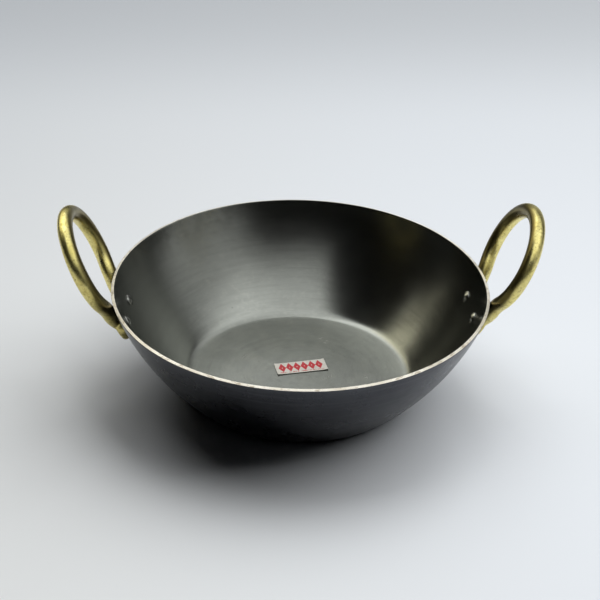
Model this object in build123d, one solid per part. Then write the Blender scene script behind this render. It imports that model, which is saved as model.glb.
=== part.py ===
from build123d import *
from math import asin, cos, degrees, radians, sin
import os

# A pressed sheet-iron kadai with two riveted brass loop handles.
# Millimetres, +Z up. The origin is the centre of the underside, and +X runs through the handles.

# Bowl: one sheet of even thickness with a flat floor, a fillet, a curved wall and a bare cut rim
rim_diameter = 260.0
rim_height = 76.0
sheet = 2.4
floor_diameter = 153.0
floor_fillet = 6.0
rim_edge_round = 0.35
wall_foot_lean = 44.5
wall_rim_lean = 19.0
wall_pull_share = 0.333

# Rivets: a low dome inside the bowl, a shank, and a peened tail outside the foot
rivet_drop = 21.6
rivet_spacing = 29.0
shank_diameter = 5.0
shank_clearance = 0.1
head_diameter = 8.6
head_height = 2.2
head_rim_height = 0.5
tail_diameter = 7.6
tail_height = 1.7
tail_rim_height = 0.4

# Handle: a round cast rod in one leaning plane, flattened into two round feet on the wall
rod_diameter = 10.4
loop_lean = 25.2
loop_standoff = 3.7
loop_top = 57.4
crown_radius = 36.8
crown_turn = 38.4
shoulder_radius = 34.1
shoulder_turn = 90.4
neck_radius = 28.6
neck_turn = 19.4
foot_diameter = 22.0
foot_thickness = 5.6
foot_edge_round = 2.0
leg_bend_share = 0.72
leg_waist_share = 0.5
leg_waist_width_share = 1.05
leg_waist_depth_share = 1.0
leg_end_width_share = 1.25
leg_end_depth_share = 1.1
spot_face_clearance = 0.5
seat_gap = 0.05

# Paper label lying on the floor
label_length = 37.0
label_width = 14.0
label_thickness = 0.15
label_turn = 9.8
label_offset_x = 2.6
label_offset_y = 9.0

overrun = 5.0

rim_radius = rim_diameter / 2
floor_radius = floor_diameter / 2
rod_radius = rod_diameter / 2
foot_radius = foot_diameter / 2
foot_angle = radians(wall_foot_lean)
rim_angle = radians(wall_rim_lean)
loop_angle = radians(loop_lean)


def wall_line(inset):
    """The wall's meridian from the fillet to the rim, inset from the outer face."""
    fillet = floor_fillet + sheet - inset
    foot = Vector(floor_radius + fillet * sin(foot_angle), floor_fillet + sheet - fillet * cos(foot_angle))
    rim = Vector(rim_radius - inset * cos(rim_angle), rim_height + inset * sin(rim_angle))
    pull = (rim - foot).length * wall_pull_share
    foot_pull = foot + Vector(cos(foot_angle), sin(foot_angle)) * pull
    rim_pull = rim - Vector(sin(rim_angle), cos(rim_angle)) * pull
    return Bezier(foot, foot_pull, rim_pull, rim)


def fillet_line(inset):
    """The round corner between the flat floor and the wall."""
    centre = (floor_radius, floor_fillet + sheet)
    return CenterArc(centre, floor_fillet + sheet - inset, -90, wall_foot_lean)


def bowl_face():
    """Half section of the bowl, with its cut rim edge square to the wall."""
    outer_fillet, outer_wall = fillet_line(0), wall_line(0)
    inner_fillet, inner_wall = fillet_line(sheet), wall_line(sheet)
    lines = Curve() + [
        Line((0, 0), outer_fillet @ 0),
        outer_fillet,
        outer_wall,
        Line(outer_wall @ 1, inner_wall @ 1),
        inner_wall,
        inner_fillet,
        Line(inner_fillet @ 0, (0, sheet)),
        Line((0, sheet), (0, 0)),
    ]
    face = make_face(lines)
    rim_corners = face.vertices().sort_by(Axis.Y)[-2:]
    return fillet(rim_corners, rim_edge_round)


def envelope(inset):
    """The bowl as a filled solid, used to trim what seats on the wall."""
    corner, wall = fillet_line(inset), wall_line(inset)
    top = (0, (wall @ 1).Y)
    lines = Curve() + [
        Line((0, (corner @ 0).Y), corner @ 0),
        corner,
        wall,
        Line(wall @ 1, top),
        Line(top, (0, (corner @ 0).Y)),
    ]
    return revolve(Plane.XZ * make_face(lines), Axis.Z)


def rivet_plane(side, way):
    """Plane on the outer wall at one rivet: Z along its axis outwards, X up the wall."""
    wall = wall_line(0)
    place = wall.position_at(wall.length - rivet_drop, PositionMode.LENGTH)
    slope = wall.tangent_at(wall.length - rivet_drop, PositionMode.LENGTH)
    turn = way * asin(rivet_spacing / 2 / place.X)
    out = Vector(side * cos(turn), sin(turn), 0)
    up = Vector(0, 0, 1)
    return Plane(
        origin=out * place.X + up * place.Y,
        x_dir=out * slope.X + up * slope.Y,
        z_dir=out * slope.Y - up * slope.X,
    )


def dome(diameter, height, edge_height, depth):
    """A button with a domed top above z = 0 and a round base going down to -depth."""
    radius = diameter / 2
    rise = height - edge_height
    sphere = (radius**2 + rise**2) / (2 * rise)
    cap = JernArc(start=(0, height), tangent=(1, 0), radius=sphere, arc_size=-degrees(asin(radius / sphere)))
    lines = Curve() + [
        cap,
        Line(cap @ 1, (radius, -depth)),
        Line((radius, -depth), (0, -depth)),
        Line((0, -depth), (0, height)),
    ]
    return revolve(Plane.XZ * make_face(lines), Axis.Z)


def rivet(side, way, skin):
    """One rivet: its head is trimmed to the bowl's inner face and its tail sits on the foot."""
    head = Pos(0, 0, -sheet) * Rot(180, 0, 0) * dome(head_diameter, head_height, head_rim_height, sheet / 2)
    tail = Pos(0, 0, foot_thickness) * dome(tail_diameter, tail_height, tail_rim_height, 0)
    grip = sheet + head_rim_height + foot_thickness + tail_rim_height
    shank = Pos(0, 0, -sheet - head_rim_height) * Cylinder(
        shank_diameter / 2, grip, align=(Align.CENTER, Align.CENTER, Align.MIN)
    )
    plane = rivet_plane(side, way)
    return (plane * head - skin) + plane * shank + plane * tail


def rivet_hole(side, way):
    """The clearance hole for one rivet's shank through the wall and the foot."""
    reach = sheet + foot_thickness + overrun
    hole = Cylinder(shank_diameter / 2 + shank_clearance, 2 * reach)
    return rivet_plane(side, way) * hole


def loop_plane():
    """The leaning plane that holds the right handle's rod: X along +Y, Y up the lean."""
    return Plane(
        origin=(rim_radius + loop_standoff, 0, rim_height),
        x_dir=(0, 1, 0),
        z_dir=(cos(loop_angle), 0, -sin(loop_angle)),
    )


def loop_half():
    """Half of the loop's centre line, from the crown down to the neck, as tangent arcs."""
    crown = JernArc(start=(0, loop_top), tangent=(1, 0), radius=crown_radius, arc_size=-crown_turn)
    shoulder = JernArc(start=crown @ 1, tangent=crown % 1, radius=shoulder_radius, arc_size=-shoulder_turn)
    neck = JernArc(start=shoulder @ 1, tangent=shoulder % 1, radius=neck_radius, arc_size=neck_turn)
    return Curve() + [crown, shoulder, neck]


def leg(path_end, heading):
    """One leg: the rod's round section eases into a flat oval at the middle of the foot."""
    seat = rivet_plane(1, 1)
    foot = seat.origin + seat.z_dir * foot_thickness / 2
    bend = path_end + heading * (foot - path_end).length * leg_bend_share
    spine = Bezier(path_end, bend, foot)
    across = heading.cross(seat.z_dir)
    shapes = [
        (0, rod_radius, rod_radius),
        (leg_waist_share, rod_radius * leg_waist_width_share, rod_radius * leg_waist_depth_share),
        (1, rod_radius * leg_end_width_share, foot_thickness / 2 * leg_end_depth_share),
    ]
    sections = []
    for station, width, depth in shapes:
        plane = Plane(origin=spine @ station, x_dir=across, z_dir=spine % station)
        sections.append(plane * Ellipse(width, depth))
    return loft(sections)


def handle_half(body):
    """The half of the right handle at +Y: half the loop, one leg and one foot."""
    centre_line = loop_plane() * loop_half()
    rod = sweep(Plane(origin=centre_line @ 0, z_dir=centre_line % 0) * Circle(rod_radius), path=centre_line)
    pad = Cylinder(foot_radius, foot_thickness + sheet, align=(Align.CENTER, Align.CENTER, Align.MIN))
    pad = fillet(pad.edges().sort_by(Axis.Z)[-1], foot_edge_round)
    seat = rivet_plane(1, 1)
    blank = rod + leg(centre_line @ 1, centre_line % 1) + seat * Pos(0, 0, -sheet) * pad
    spot = Cylinder(
        tail_diameter / 2 + spot_face_clearance,
        rod_diameter + overrun,
        align=(Align.CENTER, Align.CENTER, Align.MIN),
    )
    return blank - seat * Pos(0, 0, foot_thickness) * spot - body - rivet_hole(1, 1)


def handle():
    """The right handle, mirrored about its own middle."""
    half = handle_half(envelope(-seat_gap))
    return half + mirror(half, about=Plane.XZ)


def paper_label():
    """The sticker that lies on the floor."""
    sticker = Box(label_length, label_width, label_thickness, align=(Align.CENTER, Align.CENTER, Align.MIN))
    return Pos(label_offset_x, label_offset_y, sheet) * Rot(0, 0, label_turn) * sticker


SIDES = {"left": -1, "right": 1}
WAYS = {"front": -1, "back": 1}

skin = revolve(Plane.XZ * bowl_face(), Axis.Z)
pan_body = skin
for side in SIDES.values():
    for way in WAYS.values():
        pan_body -= rivet_hole(side, way)

handle_right = handle()
parts = {
    "pan_body": pan_body,
    "handle_right": handle_right,
    "handle_left": mirror(handle_right, about=Plane.YZ),
    "paper_label": paper_label(),
}
for side_name, side in SIDES.items():
    for way_name, way in WAYS.items():
        parts[f"rivet_{side_name}_{way_name}"] = rivet(side, way, skin)

os.makedirs("parts", exist_ok=True)
for node, shape in parts.items():
    export_step(shape, f"parts/{node}.step")
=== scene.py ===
from math import cos, exp, pi, radians, sin

import bmesh
import bpy
from mathutils import Matrix, Vector, noise


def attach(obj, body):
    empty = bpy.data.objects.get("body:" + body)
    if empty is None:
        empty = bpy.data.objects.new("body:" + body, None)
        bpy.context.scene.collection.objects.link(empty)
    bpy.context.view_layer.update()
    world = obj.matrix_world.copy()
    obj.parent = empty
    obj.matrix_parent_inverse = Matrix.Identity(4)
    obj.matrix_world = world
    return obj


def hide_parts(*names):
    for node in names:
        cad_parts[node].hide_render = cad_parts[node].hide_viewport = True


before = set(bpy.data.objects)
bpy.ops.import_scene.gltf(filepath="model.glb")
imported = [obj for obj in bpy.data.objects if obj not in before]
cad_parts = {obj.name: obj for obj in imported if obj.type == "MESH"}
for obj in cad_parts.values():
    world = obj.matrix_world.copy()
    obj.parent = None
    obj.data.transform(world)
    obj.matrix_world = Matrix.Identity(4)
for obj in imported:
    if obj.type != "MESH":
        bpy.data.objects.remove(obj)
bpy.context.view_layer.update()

# Looks of the kadai: a pressed iron bowl with antique brass loops, on a pale studio floor.
# Metres, in the CAD frame: the origin is the centre of the underside, +X through the handles, +Z up.

MM = 0.001

# Bowl, with the same sizes as the CAD source
rim_radius = 130.0 * MM
rim_height = 76.0 * MM
sheet = 2.4 * MM
floor_radius = 76.5 * MM
floor_fillet = 6.0 * MM
rim_edge_round = 0.35 * MM
wall_foot_lean = radians(44.5)
wall_rim_lean = radians(19.0)
wall_pull_share = 0.333

# The inside is softer: the corner is averaged along the section, and the floor rises a little to meet it
corner_radius = 78.5 * MM
corner_spread = 2.2 * MM
corner_reach = 11.0 * MM
dish_start = 44.0 * MM
dish_rise = 0.95 * MM
dish_fade = 20.0 * MM

# Unevenness of the pressed sheet, with its waves a metre, and a band under the rim where it changes
broad_dent = 0.15 * MM
broad_dent_waves = 20.0
fine_dent = 0.03 * MM
fine_dent_waves = 75.0
rim_band = 8.0 * MM
rim_dent_share = 0.25
rim_inset = 0.05 * MM
rim_wave = 0.12 * MM
rim_wave_scale = 6.0

# Mesh of the bowl: steps along its section, and round its axis
floor_steps = 60
fillet_steps = 10
wall_steps = 64
corner_steps = 4
edge_steps = 5
underside_steps = 12
turns = 320

# Looks of the bowl's faces, in the order of its materials
INSIDE, EDGE, OUTSIDE = 0, 1, 2

# Cast loops and rivets: mesh size, rounds of smoothing, the growth that makes up for them, and dents
loop_form = {"voxel": 0.55 * MM, "rounds": 30, "growth": 0.06 * MM, "dent": 0.12 * MM}
stud_form = {"voxel": 0.22 * MM, "rounds": 4, "growth": 0.01 * MM, "dent": 0.10 * MM}
loop_seeds = {"left": 4.0, "right": 13.0}
stud_seeds = {"left_front": 2.0, "left_back": 7.0, "right_front": 12.0, "right_back": 17.0}
cast_broad_waves = 55.0
cast_fine_waves = 240.0
cast_broad_share = 0.88

# Paper label, a little thinner than its CAD plate, with the waves a metre of its wrinkles and ragged edge
label_length = 37.0 * MM
label_width = 14.0 * MM
label_thickness = 0.12 * MM
label_turn = radians(9.8)
label_x = 2.6 * MM
label_y = 9.0 * MM
label_lift = 0.22 * MM
label_columns = 74
label_rows = 28
side_curl = 0.25 * MM
end_curl = 0.45 * MM
end_curl_middle_share = 0.4
wrinkle_depth = 0.05 * MM
wrinkle_waves_along = 260.0
wrinkle_waves_across = 200.0
ragged_depth = 0.12 * MM
ragged_waves = 700.0

# Print on the label: a row of lozenges over a rule
lozenge_pitch = 5.4 * MM
lozenge_height = 10.6 * MM
row_middle = 1.0 * MM
rule_middle = -5.1 * MM
rule_half_width = 0.45 * MM
rule_blur = 0.05 * MM
print_reach = 16.2 * MM
print_blur = 0.1 * MM

# Bands over which a look sets in, each from where it is absent to where it is full
iron_floor_band = (4.5 * MM, 3.0 * MM)
iron_floor_edge_band = (48.0 * MM, 66.0 * MM)
# Band of the painted shade on the upper inner wall, under the rim
painted_shade_under_rim_band = (52.0 * MM, 70.0 * MM)
brass_low_band = (72.0 * MM, 56.0 * MM)
floor_cool_band = (-0.30, 0.25)
# Bands of the painted light falloff on the floor, away from its bright spot and towards the back
painted_falloff_band = (0.15, 1.35)
painted_back_shade_band = (0.42, 0.85)
floor_fade_band = (1.05, 1.60)

# Colours of the iron
iron_plain = (0.292, 0.298, 0.279)
iron_pale = (0.320, 0.326, 0.305)
iron_smear = (0.40, 0.394, 0.335)
iron_mottle = (0.40, 0.40, 0.365)
iron_floor_edge = (0.18, 0.185, 0.165)
# Painted shade for the upper inner wall, under the rim
iron_painted_shade_under_rim = (0.155, 0.155, 0.137)
iron_band = (0.155, 0.158, 0.145)
iron_speck = (0.05, 0.05, 0.045)
outside_dark = (0.060, 0.062, 0.071)
outside_plain = (0.083, 0.086, 0.096)
outside_streak = (0.13, 0.133, 0.145)
edge_bright = (0.90, 0.85, 0.75)
edge_stained = (0.70, 0.64, 0.53)
edge_nick = (0.34, 0.26, 0.17)
rivet_bright = (0.42, 0.42, 0.40)
rivet_dark = (0.12, 0.12, 0.11)

# Colours of the brass
brass_bright = (0.93, 0.82, 0.345)
brass_plain = (0.75, 0.64, 0.22)
brass_aged = (0.265, 0.21, 0.072)
brass_worn = (0.22, 0.165, 0.05)
brass_low = (0.13, 0.10, 0.04)
# Patina and painted shade on the sides of the loops that face the bowl
brass_patina_and_painted_shade = (0.10, 0.075, 0.025)
brass_pit = (0.07, 0.05, 0.02)

# Colours of the paper and the studio
paper_white = (0.53, 0.505, 0.45)
paper_stained = (0.42, 0.385, 0.33)
ink_red = (0.37, 0.012, 0.02)
floor_warm = (0.82, 0.82, 0.805)
floor_cool = (0.81, 0.83, 0.865)
floor_shade = (0.79, 0.81, 0.84)
# Painted light falloff on the floor, far out and towards the back
floor_painted_falloff = (0.50, 0.515, 0.535)
floor_painted_back_shade = (0.36, 0.37, 0.385)
room_white = (0.97, 1.0, 0.98)
room_warm = (1.0, 0.96, 0.72)
camera_backdrop = (0.66, 0.69, 0.73)

# Studio floor: a disc that turns see-through far out and leaves the backdrop
floor_reach = 4.0
floor_sides = 128
# Middle of the pool of light painted on the floor
painted_light_spot = (0.15, -0.45, 0.0)
pan_middle = (0.0, 0.0, 0.0)

# Lamps: azimuth from the front towards +X and elevation in degrees, side in metres, power in watts
lamp_distance = 2.4
lamp_colour = (0.97, 0.99, 1.0)
lamps = {
    "key_right": (119, 50, 3.15, 80.0),
    "key_back": (196, 57, 2.50, 36.0),
}

# The room that the metal mirrors. The ceiling's band is in sines of the elevation. A patch is an
# azimuth, an elevation, and the angles from its middle up to which it is full and at which it is gone,
# in degrees. The left window is the brighter of its two patches. It and the bright patches are added up.
ceiling_band = (0.45, 0.84)
ceiling_strength = 1.14
dark_side = (286, 20, 41, 48)
warm_side = (228, 24, 18, 38)
left_window = ((239, 18, 2, 13), (251, 27, 2, 11))
left_window_strength = 0.50
bright_patches = {
    "back_window": ((214, 41, 24, 33), 1.08),
    "side_window": ((73, 30, 0, 47), 0.54),
    "overhead": ((6, 80, 4, 20), 0.17),
    "backdrop": ((150, -2, 8, 31), 0.38),
    "low_back": ((172, 25, 5, 14), 0.30),
}

# Camera, fitted to the photograph
camera_place = Vector((-66.581, -890.015, 595.998)) * MM
camera_forward = Vector((0.06386138, 0.85666412, -0.51190655))
camera_right = Vector((0.99792512, -0.05903072, 0.02570660))
camera_up = Vector((0.00819629, 0.51248607, 0.85865642))
camera_lens = 90.0
camera_sensor = 36.0
camera_clip_end = 50.0


# Shapes

def ramp(value, low, high):
    """0 at low, 1 at high, straight between them and level beyond them."""
    return min(1.0, max(0.0, (value - low) / (high - low)))


def bezier(a, b, c, d, t):
    """The point at t of a cubic curve."""
    s = 1 - t
    return a * s**3 + b * 3 * s * s * t + c * 3 * s * t * t + d * t**3


def fillet_point(inset, angle):
    """(radius, height) on the round corner between floor and wall, inset from the outer face."""
    radius = floor_fillet + sheet - inset
    return Vector((floor_radius + radius * sin(angle), floor_fillet + sheet - radius * cos(angle)))


def fillet_points(inset):
    """The round corner between floor and wall, without its last point."""
    return [fillet_point(inset, wall_foot_lean * i / fillet_steps) for i in range(fillet_steps)]


def wall_points(inset):
    """The wall's section from the fillet to the rim."""
    foot = fillet_point(inset, wall_foot_lean)
    rim = Vector((rim_radius - inset * cos(wall_rim_lean), rim_height + inset * sin(wall_rim_lean)))
    pull = (rim - foot).length * wall_pull_share
    foot_pull = foot + Vector((cos(wall_foot_lean), sin(wall_foot_lean))) * pull
    rim_pull = rim - Vector((sin(wall_rim_lean), cos(wall_rim_lean))) * pull
    return [bezier(foot, foot_pull, rim_pull, rim, i / wall_steps) for i in range(wall_steps + 1)]


def rim_corner(corner, outward):
    """A rounded corner of the cut edge, from the face of the sheet to the flat of the edge."""
    down = Vector((-sin(wall_rim_lean), -cos(wall_rim_lean)))
    centre = corner + (down - outward) * rim_edge_round
    angles = [pi / 2 * (1 - i / corner_steps) for i in range(corner_steps + 1)]
    return [centre + (outward * sin(a) - down * cos(a)) * rim_edge_round for a in angles]


def rim_points(inner_end, outer_end):
    """The rim's inner corner, cut edge and outer corner, as three lines."""
    across = (outer_end - inner_end).normalized()
    inner = rim_corner(inner_end, -across)
    outer = rim_corner(outer_end, across)[::-1]
    flat = [inner[-1].lerp(outer[0], i / edge_steps) for i in range(1, edge_steps)]
    return inner[:-1], [inner[-1], *flat, outer[0]], outer[1:]


def softened(line):
    """The inside line, averaged along its length near the corner, over a floor that rises to meet it."""
    corner = Vector((corner_radius, sheet))
    soft = []
    for p in line:
        total, share = Vector((0, 0)), 0.0
        for before, q, after in zip(line, line[1:], line[2:]):
            weight = exp(-0.5 * ((q - p).length / corner_spread) ** 2) * (after - before).length
            total += q * weight
            share += weight
        near = exp(-0.5 * ((p - corner).length / corner_reach) ** 4)
        rise = dish_rise * ramp(p.x, dish_start, corner_radius) ** 2
        rise *= (1 - ramp(p.y, sheet, sheet + dish_fade)) ** 2
        soft.append(p.lerp(total / share, near) + Vector((0, rise)))
    return soft


def bowl_profile():
    """(radius, height, look) round the section, from the middle of the floor to that of the underside."""
    inner_wall, outer_wall = wall_points(sheet), wall_points(0)
    inner_corner, edge, outer_corner = rim_points(inner_wall[-1], outer_wall[-1])
    floor = [Vector((floor_radius * i / floor_steps, sheet)) for i in range(1, floor_steps)]
    underside = [Vector((floor_radius * i / underside_steps, 0)) for i in range(1, underside_steps)]
    inside = softened(floor + fillet_points(sheet) + inner_wall[:-1]) + inner_corner
    outside = underside + fillet_points(0) + outer_wall[:-1]
    lines = {INSIDE: inside, EDGE: edge, OUTSIDE: outer_corner + outside[::-1]}
    return [(p.x, p.y, look) for look, line in lines.items() for p in line]


def unevenness(place):
    """How far the pressed sheet leaves its ideal form here."""
    broad = noise.noise(place * broad_dent_waves + Vector((3.1, 7.7, 1.3)))
    fine = noise.noise(place * fine_dent_waves + Vector((9.2, 2.4, 5.5)))
    return broad_dent * broad + fine_dent * fine


def lift_sheet(mesh):
    """Moves both faces of the wall nearly alike, so its thickness hardly changes; the floor only rises."""
    for v in mesh.vertices:
        radius = Vector((v.co.x, v.co.y)).length
        out = Vector((v.co.x, v.co.y, 0)) / max(radius, MM)
        wall = ramp(radius, floor_radius, floor_radius + 2 * floor_fillet)
        rim = ramp(v.co.z, rim_height - rim_band, rim_height)
        dent = unevenness(v.co - Vector((0, 0, sheet / 2))) * (1 - (1 - rim_dent_share) * rim)
        v.co += out * wall * (dent - rim_inset * rim)
        if v.co.z > sheet / 2:
            v.co.z += abs(unevenness(Vector((v.co.x, v.co.y, 0)))) * (1 - wall)
        wave = noise.noise(out * rim_wave_scale + Vector((4.0, 1.0, 2.0)))
        v.co.z += wave * rim_wave * rim * wall


def new_piece(name, mesh):
    """An object of the mesh, in the scene."""
    piece = bpy.data.objects.new(name, mesh)
    bpy.context.scene.collection.objects.link(piece)
    return piece


def make_bowl():
    """The section turned round the axis, with a fan at the middle of the floor and of the underside."""
    profile = bowl_profile()
    count = len(profile)
    vertices, faces, looks = [], [], []
    for i in range(turns):
        a = 2 * pi * i / turns
        vertices += [(radius * cos(a), radius * sin(a), height) for radius, height, _ in profile]
    starts = [(i * count, (i + 1) % turns * count) for i in range(turns)]
    for here, there in starts:
        for j in range(count - 1):
            faces.append((here + j, there + j, there + j + 1, here + j + 1))
            look, next_look = profile[j][2], profile[j + 1][2]
            looks.append(look if look == next_look else EDGE)
    floor_middle, underside_middle = len(vertices), len(vertices) + 1
    vertices += [(0, 0, sheet), (0, 0, 0)]
    for here, there in starts:
        faces.append((floor_middle, there, here))
        faces.append((underside_middle, here + count - 1, there + count - 1))
        looks += [INSIDE, OUTSIDE]
    mesh = bpy.data.meshes.new("bowl")
    mesh.from_pydata(vertices, [], faces)
    mesh.update()
    lift_sheet(mesh)
    mesh.polygons.foreach_set("material_index", looks)
    mesh.shade_smooth()
    return new_piece("bowl", mesh)


def apply_modifiers(piece):
    """Swaps the piece's mesh for what its modifiers make of it."""
    graph = bpy.context.evaluated_depsgraph_get()
    mesh = bpy.data.meshes.new_from_object(piece.evaluated_get(graph))
    piece.modifiers.clear()
    old = piece.data
    piece.data = mesh
    bpy.data.meshes.remove(old)


def cast_copy(node, name, seed, voxel, rounds, growth, dent):
    """A copy of a CAD node with softened corners and a casting's dents."""
    piece = new_piece(name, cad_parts[node].data.copy())
    piece.data.materials.clear()
    remesh = piece.modifiers.new("remesh", "REMESH")
    remesh.mode = "VOXEL"
    remesh.voxel_size = voxel
    soften = piece.modifiers.new("soften", "SMOOTH")
    soften.factor = 0.5
    soften.iterations = rounds
    apply_modifiers(piece)
    normals = [v.normal.copy() for v in piece.data.vertices]
    for v, normal in zip(piece.data.vertices, normals):
        broad = noise.noise(v.co * cast_broad_waves + Vector((seed, 0, 0)))
        fine = noise.noise(v.co * cast_fine_waves + Vector((0, seed, 0)))
        depth = cast_broad_share * broad + (1 - cast_broad_share) * fine
        v.co += normal * (depth * dent + growth)
    piece.data.shade_smooth()
    return piece


def label_point(i, j):
    """A point of the sticker: x along it, y across, raised by its curl and wrinkles, ragged at the edges."""
    x = (i / label_columns - 0.5) * label_length
    y = (j / label_rows - 0.5) * label_width
    along, across = abs(x) / (label_length / 2), abs(y) / (label_width / 2)
    end_share = end_curl_middle_share + (1 - end_curl_middle_share) * across**2
    curl = side_curl * across**4 + end_curl * along**8 * end_share
    wrinkle = noise.noise(Vector((x * wrinkle_waves_along, y * wrinkle_waves_across, 4.2)))
    at_edge = i in (0, label_columns) or j in (0, label_rows)
    ragged = noise.noise(Vector((x * ragged_waves, y * ragged_waves, 1.0))) if at_edge else 0.0
    x, y = x + ragged_depth * ragged, y + ragged_depth * ragged
    return x, y, curl + wrinkle_depth * wrinkle


def make_label():
    """The paper sticker, laid on the floor."""
    width = label_columns + 1
    points = [label_point(i, j) for j in range(label_rows + 1) for i in range(width)]
    starts = [j * width + i for j in range(label_rows) for i in range(label_columns)]
    mesh = bpy.data.meshes.new("label")
    mesh.from_pydata(points, [], [(k, k + 1, k + width + 1, k + width) for k in starts])
    mesh.shade_smooth()
    piece = new_piece("label", mesh)
    thick = piece.modifiers.new("thickness", "SOLIDIFY")
    thick.thickness = label_thickness
    thick.offset = 1
    apply_modifiers(piece)
    place = Matrix.Translation((label_x, label_y, sheet + label_lift))
    piece.matrix_world = place @ Matrix.Rotation(label_turn, 4, "Z")
    return piece


# Materials

class Nodes:
    """A short way to write a node tree."""

    def __init__(self, tree):
        self.tree = tree
        tree.nodes.clear()

    def add(self, kind, **values):
        """A new node with its own settings."""
        node = self.tree.nodes.new(kind)
        for key, value in values.items():
            setattr(node, key, value)
        return node

    def put(self, value, socket):
        """Links an output or a node to the socket, or sets a plain value on it."""
        if isinstance(value, bpy.types.NodeSocket):
            self.tree.links.new(value, socket)
        elif isinstance(value, bpy.types.Node):
            self.tree.links.new(value.outputs[0], socket)
        else:
            socket.default_value = value

    def math(self, operation, a, b=0.0):
        node = self.add("ShaderNodeMath", operation=operation)
        self.put(a, node.inputs[0])
        self.put(b, node.inputs[1])
        return node.outputs[0]

    def times(self, a, b):
        return self.math("MULTIPLY", a, b)

    def plus(self, first, *rest):
        for value in rest:
            first = self.math("ADD", first, value)
        return first

    def minus(self, a, b):
        return self.math("SUBTRACT", a, b)

    def gap(self, a, b):
        """How far a is from b."""
        return self.math("ABSOLUTE", self.minus(a, b))

    def step(self, value, low, high, to_low=0.0, to_high=1.0):
        """A smooth step from to_low at low to to_high at high."""
        node = self.add("ShaderNodeMapRange", interpolation_type="SMOOTHSTEP")
        for v, socket in zip((value, low, high, to_low, to_high), node.inputs):
            self.put(v, socket)
        return node.outputs[0]

    def xyz(self, vector):
        node = self.add("ShaderNodeSeparateXYZ")
        self.put(vector, node.inputs[0])
        return node.outputs

    def vector(self, x, y, z):
        node = self.add("ShaderNodeCombineXYZ")
        for value, socket in zip((x, y, z), node.inputs):
            self.put(value, socket)
        return node.outputs[0]

    def vector_math(self, operation, a, b):
        node = self.add("ShaderNodeVectorMath", operation=operation)
        self.put(a, node.inputs[0])
        self.put(b, node.inputs[1])
        return node.outputs

    def noise(self, vector, scale, detail=3.0, rough=0.55, warp=0.0):
        node = self.add("ShaderNodeTexNoise")
        self.put(vector, node.inputs["Vector"])
        node.inputs["Scale"].default_value = scale
        node.inputs["Detail"].default_value = detail
        node.inputs["Roughness"].default_value = rough
        node.inputs["Distortion"].default_value = warp
        return node.outputs["Fac"]

    def cells(self, vector, scale):
        """The distance to the nearest of many scattered points."""
        node = self.add("ShaderNodeTexVoronoi")
        self.put(vector, node.inputs["Vector"])
        node.inputs["Scale"].default_value = scale
        return node.outputs["Distance"]

    def mix(self, share, a, b):
        """Colour a with a share of colour b over it."""
        node = self.add("ShaderNodeMix", data_type="RGBA")
        # The node has sockets for every kind of data under the same names; these are the colour ones
        first, second, result = node.inputs[6], node.inputs[7], node.outputs[2]
        self.put(share, node.inputs[0])
        for value, socket in ((a, first), (b, second)):
            self.put((*value, 1.0) if isinstance(value, tuple) else value, socket)
        return result

    def bump(self, height, strength, distance):
        node = self.add("ShaderNodeBump")
        node.inputs["Strength"].default_value = strength
        node.inputs["Distance"].default_value = distance
        self.put(height, node.inputs["Height"])
        return node.outputs["Normal"]

    def principled(self, colour, roughness, metallic):
        shader = self.add("ShaderNodeBsdfPrincipled")
        self.put(colour, shader.inputs["Base Color"])
        self.put(roughness, shader.inputs["Roughness"])
        self.put(metallic, shader.inputs["Metallic"])
        return shader

    def show(self, shader):
        output = self.add("ShaderNodeOutputMaterial")
        self.put(shader, output.inputs["Surface"])

    def surface(self, colour, roughness, metallic, normal):
        shader = self.principled(colour, roughness, metallic)
        self.put(normal, shader.inputs["Normal"])
        self.show(shader)


def new_material(name):
    """A material, its nodes, and the place on the object that its patterns follow."""
    material = bpy.data.materials.new(name)
    material.use_nodes = True
    n = Nodes(material.node_tree)
    return material, n, n.add("ShaderNodeTexCoord").outputs["Object"]


def around(n, place):
    """(turns round the axis, radius, height) of a place on the bowl."""
    x, y, z = n.xyz(place)
    angle = n.times(n.math("ARCTAN2", y, x), 1 / (2 * pi))
    radius = n.math("SQRT", n.plus(n.times(x, x), n.times(y, y)))
    return angle, radius, z


def spun(n, place, rounds, pitch):
    """A coordinate in which noise stretches into marks round the bowl's axis."""
    angle, radius, z = around(n, place)
    return n.vector(n.times(angle, rounds), n.times(radius, pitch), n.times(z, pitch))


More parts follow.
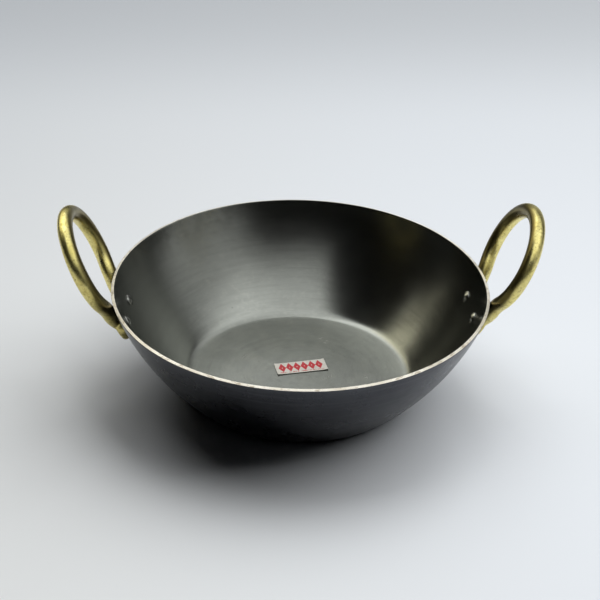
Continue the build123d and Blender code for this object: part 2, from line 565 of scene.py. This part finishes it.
def iron_inside():
    """Sheet iron with spun marks and cloudy patches, smeared on the floor, with painted shade darkening the
    upper wall under the rim.
    """
    material, n, place = new_material("iron_inside")
    _, radius, z = around(n, place)
    patches = n.noise(place, 22.0, 4.0, 0.6, 0.2)
    cloud = n.noise(place, 70.0, 3.0, 0.6)
    grain = n.noise(place, 900.0, 2.0)
    marks = n.noise(spun(n, place, 9.0, 900.0), 1.0, 3.0, 0.7)
    bands = n.noise(spun(n, place, 16.0, 300.0), 1.0, 4.0, 0.65)
    mottle = n.noise(place, 260.0, 3.0, 0.6)
    floor = n.step(z, *iron_floor_band)
    smear = n.times(floor, n.step(cloud, 0.4, 0.75, 0.0, 0.16))
    floor_edge = n.times(floor, n.step(radius, *iron_floor_edge_band, 0.0, 0.20))
    # Painted shade: the upper wall, under the rim, darkened in cloudy patches
    painted_shade_under_rim = n.times(n.step(z, *painted_shade_under_rim_band), n.step(cloud, 0.42, 0.62, 0.0, 0.35))
    specks = n.times(n.step(n.cells(place, 95.0), 0.045, 0.03), n.step(n.noise(place, 30.0), 0.58, 0.62))
    tone = n.mix(n.step(patches, 0.35, 0.68), iron_plain, iron_pale)
    tone = n.mix(smear, tone, iron_smear)
    tone = n.mix(floor_edge, tone, iron_floor_edge)
    tone = n.mix(painted_shade_under_rim, tone, iron_painted_shade_under_rim)
    tone = n.mix(n.step(bands, 0.42, 0.68, 0.0, 0.17), tone, iron_band)
    tone = n.mix(n.step(mottle, 0.50, 0.72, 0.0, 0.20), tone, iron_mottle)
    tone = n.mix(specks, tone, iron_speck)
    haze = n.times(n.step(cloud, 0.3, 0.75), 0.025)
    rough = n.plus(0.195, haze, n.times(marks, 0.04), n.times(floor, 0.03))
    height = n.plus(n.times(marks, 0.45), n.times(grain, 0.35), n.times(bands, 0.35))
    n.surface(tone, rough, 1.0, n.bump(height, 0.15, 0.15 * MM))
    return material


def iron_outside():
    """Darker sheet iron with faint streaks round it."""
    material, n, place = new_material("iron_outside")
    patches = n.noise(place, 18.0, 4.0, 0.6, 0.2)
    cloud = n.noise(place, 60.0, 3.0, 0.6)
    grain = n.noise(place, 800.0, 2.0)
    marks = n.noise(spun(n, place, 7.0, 700.0), 1.0, 4.0, 0.7)
    streaks = n.noise(spun(n, place, 12.0, 420.0), 1.0, 4.0, 0.65)
    tone = n.mix(n.step(patches, 0.3, 0.7), outside_dark, outside_plain)
    tone = n.mix(n.step(streaks, 0.45, 0.70, 0.0, 0.35), tone, outside_streak)
    rough = n.plus(0.26, n.times(n.step(cloud, 0.3, 0.75), 0.08))
    height = n.plus(n.times(marks, 0.6), n.times(grain, 0.4))
    n.surface(tone, rough, 1.0, n.bump(height, 0.08, 0.15 * MM))
    return material


def cut_edge():
    """The bare cut rim, with stains and nicks across it."""
    material, n, place = new_material("cut_edge")
    nicks = n.noise(spun(n, place, 160.0, 500.0), 1.0, 3.0, 0.7)
    stain = n.noise(place, 60.0, 3.0, 0.6)
    tone = n.mix(n.step(stain, 0.35, 0.7), edge_bright, edge_stained)
    tone = n.mix(n.step(nicks, 0.53, 0.64, 0.0, 0.65), tone, edge_nick)
    n.surface(tone, 0.34, 0.3, n.bump(nicks, 0.22, 0.3 * MM))
    return material


def brass():
    """Antique brass: aged patches, worn speckles and pits, darkest on the sides that face the bowl, with
    patina and painted shade there.
    """
    material, n, place = new_material("antique_brass")
    x, _, z = n.xyz(place)
    broad = n.noise(place, 34.0, 4.0, 0.6, 0.5)
    cloud = n.noise(place, 120.0, 4.0, 0.65)
    grain = n.noise(place, 1300.0, 2.0)
    worn = n.noise(place, 560.0, 3.0, 0.6)
    facing = n.xyz(n.add("ShaderNodeTexCoord").outputs["Normal"])[0]
    outward = n.times(facing, n.math("SIGN", x))
    inner = n.plus(outward, n.times(cloud, 0.5))
    pits = n.times(n.step(n.cells(place, 430.0), 0.22, 0.12), n.step(n.noise(place, 90.0), 0.48, 0.58))
    tone = n.mix(n.step(cloud, 0.3, 0.7), brass_bright, brass_plain)
    tone = n.mix(n.step(broad, 0.42, 0.82, 0.0, 0.45), tone, brass_aged)
    # Patina and painted shade: darker on the sides that face the bowl
    tone = n.mix(n.step(inner, 0.08, -0.45, 0.0, 0.86), tone, brass_patina_and_painted_shade)
    tone = n.mix(n.step(worn, 0.50, 0.66, 0.0, 0.42), tone, brass_worn)
    tone = n.mix(n.times(pits, 0.8), tone, brass_pit)
    tone = n.mix(n.step(z, *brass_low_band, 0.0, 0.15), tone, brass_low)
    rough = n.plus(0.27, n.times(n.step(cloud, 0.3, 0.8), 0.10))
    height = n.minus(n.times(grain, 0.3), pits)
    n.surface(tone, rough, 1.0, n.bump(height, 0.25, 0.25 * MM))
    return material


def rivet_steel():
    """Hammered steel, mottled bright and dark."""
    material, n, place = new_material("rivet_steel")
    cloud = n.noise(place, 500.0, 3.0, 0.6)
    tone = n.mix(n.step(cloud, 0.35, 0.65), rivet_bright, rivet_dark)
    rough = n.plus(0.16, n.times(cloud, 0.16))
    n.surface(tone, rough, 1.0, n.bump(cloud, 0.4, 0.25 * MM))
    return material


def printed_paper():
    """Worn white paper with a plain red row of bold lozenges over a thin rule."""
    material, n, place = new_material("printed_paper")
    x, y, _ = n.xyz(place)
    fibre = n.noise(place, 900.0, 4.0, 0.7)
    stain = n.noise(place, 140.0, 3.0)
    aside = n.gap(n.math("FRACT", n.math("DIVIDE", x, lozenge_pitch)), 0.5)
    above = n.math("DIVIDE", n.gap(y, row_middle), lozenge_height)
    from_middle = n.plus(aside, above)
    lozenge = n.times(n.step(from_middle, 0.53, 0.50), n.step(from_middle, 0.06, 0.09))
    in_print = n.step(n.math("ABSOLUTE", x), print_reach + print_blur, print_reach - print_blur)
    rule = n.step(n.gap(y, rule_middle), rule_half_width + rule_blur, rule_half_width - rule_blur)
    stretched = n.vector_math("MULTIPLY", place, (1.0, 0.2, 1.0))[0]
    breaks = n.step(n.noise(stretched, 1500.0, 1.0), 0.45, 0.5)
    print_all = n.math("MAXIMUM", lozenge, n.times(rule, breaks))
    ink = n.times(n.times(print_all, in_print), n.step(fibre, 0.3, 0.42, 0.7, 1.0))
    paper = n.mix(n.step(stain, 0.45, 0.75, 0.0, 0.5), paper_white, paper_stained)
    n.surface(n.mix(ink, paper, ink_red), 0.45, 0.0, n.bump(fibre, 0.15, 0.1 * MM))
    return material


def studio_floor():
    """Pale matt floor, a little warmer at the left, with painted light that darkens it far from a spot in
    front of the pan and towards the back, and see-through beyond that.
    """
    material, n, place = new_material("studio_floor")
    x, y, _ = n.xyz(place)
    from_painted_light = n.vector_math("DISTANCE", place, painted_light_spot)["Value"]
    radius = n.vector_math("DISTANCE", place, pan_middle)["Value"]
    cool = n.mix(n.noise(place, 1.3, 2.0), floor_cool, floor_shade)
    tone = n.mix(n.step(x, *floor_cool_band), floor_warm, cool)
    # Painted light: the floor darkens away from a bright spot in front, and towards the back
    tone = n.mix(n.step(from_painted_light, *painted_falloff_band), tone, floor_painted_falloff)
    tone = n.mix(n.step(y, *painted_back_shade_band, 0.0, 0.75), tone, floor_painted_back_shade)
    matt = n.principled(tone, 0.9, 0.0)
    matt.inputs["Specular IOR Level"].default_value = 0.0
    fade = n.add("ShaderNodeMixShader")
    n.put(n.step(radius, *floor_fade_band), fade.inputs[0])
    n.put(matt, fade.inputs[1])
    n.put(n.add("ShaderNodeBsdfTransparent"), fade.inputs[2])
    n.show(fade)
    return material


def dress(piece, node, slot, *materials):
    """Gives a piece its looks and puts it in the place of its CAD node."""
    for material in materials:
        piece.data.materials.append(material)
    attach(piece, "root")
    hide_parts(node)


# The studio

def heading(azimuth, elevation):
    """The direction at an azimuth from the front (-Y) towards +X and an elevation, both in degrees."""
    a, e = radians(azimuth), radians(elevation)
    return (cos(e) * sin(a), -cos(e) * cos(a), sin(e))


def add_lamp(name, azimuth, elevation, size, power):
    """A large soft box that faces the pan; the metal mirrors the room and not the lamp."""
    data = bpy.data.lights.new(name, "AREA")
    data.shape = "SQUARE"
    data.size = size
    data.energy = power
    data.color = lamp_colour
    lamp = bpy.data.objects.new(name, data)
    bpy.context.scene.collection.objects.link(lamp)
    lamp.location = Vector(heading(azimuth, elevation)) * lamp_distance
    lamp.rotation_mode = "QUATERNION"
    lamp.rotation_quaternion = lamp.location.to_track_quat("Z", "Y")
    lamp.visible_camera = False
    lamp.visible_glossy = False


def sky_patch(n, direction, azimuth, elevation, full, gone):
    """1 within an angle of a heading, fading to 0 at a wider angle."""
    toward = n.vector_math("DOT_PRODUCT", direction, heading(azimuth, elevation))["Value"]
    return n.step(toward, cos(radians(gone)), cos(radians(full)))


def mirrored_room(n, direction):
    """How bright the room is in a direction: a pale ceiling with a dark side, windows and a backdrop."""
    height = n.xyz(direction)[2]
    ceiling = n.times(n.step(height, *ceiling_band), ceiling_strength)
    room = n.times(ceiling, n.minus(1.0, sky_patch(n, direction, *dark_side)))
    for patch, strength in bright_patches.values():
        room = n.plus(room, n.times(sky_patch(n, direction, *patch), strength))
    low, high = [sky_patch(n, direction, *patch) for patch in left_window]
    return n.plus(room, n.times(n.math("MAXIMUM", low, high), left_window_strength))


def make_world():
    """The room for the metal, and a plain pale backdrop for the camera; it lights nothing else."""
    world = bpy.data.worlds.new("studio")
    bpy.context.scene.world = world
    world.use_nodes = True
    n = Nodes(world.node_tree)
    direction = n.add("ShaderNodeTexCoord").outputs["Generated"]
    paths = n.add("ShaderNodeLightPath").outputs
    tint = n.mix(sky_patch(n, direction, *warm_side), room_white, room_warm)
    room = n.times(mirrored_room(n, direction), paths["Is Glossy Ray"])
    light = n.add("ShaderNodeBackground")
    n.put(n.mix(paths["Is Camera Ray"], tint, camera_backdrop), light.inputs["Color"])
    n.put(n.math("MAXIMUM", room, paths["Is Camera Ray"]), light.inputs["Strength"])
    output = n.add("ShaderNodeOutputWorld")
    n.put(light, output.inputs["Surface"])


def make_floor():
    """The studio floor, a wide flat disc under the pan."""
    mesh = bpy.data.meshes.new("floor")
    disc = bmesh.new()
    bmesh.ops.create_circle(disc, cap_ends=True, segments=floor_sides, radius=floor_reach)
    disc.to_mesh(mesh)
    disc.free()
    floor = new_piece("studio_floor", mesh)
    floor.data.materials.append(studio_floor())


def make_camera():
    """The camera at the photograph's angle."""
    data = bpy.data.cameras.new("camera")
    data.lens = camera_lens
    data.sensor_width = camera_sensor
    data.clip_end = camera_clip_end
    camera = bpy.data.objects.new("camera", data)
    bpy.context.scene.collection.objects.link(camera)
    axes = Matrix((camera_right, camera_up, -camera_forward)).transposed()
    camera.matrix_world = Matrix.Translation(camera_place) @ axes.to_4x4()
    bpy.context.scene.camera = camera


# The pan

dress(make_bowl(), "pan_body", "iron", iron_inside(), cut_edge(), iron_outside())

brass_look = brass()
for side, seed in loop_seeds.items():
    loop = cast_copy("handle_" + side, "loop_" + side, seed, **loop_form)
    dress(loop, "handle_" + side, "brass", brass_look)

steel_look = rivet_steel()
for place, seed in stud_seeds.items():
    stud = cast_copy("rivet_" + place, "stud_" + place, seed, **stud_form)
    dress(stud, "rivet_" + place, "rivet_steel", steel_look)

dress(make_label(), "paper_label", "label_paper", printed_paper())

make_floor()
make_world()
make_camera()
for name, (azimuth, elevation, size, power) in lamps.items():
    add_lamp(name, azimuth, elevation, size, power)

bpy.context.scene.view_settings.view_transform = "Standard"
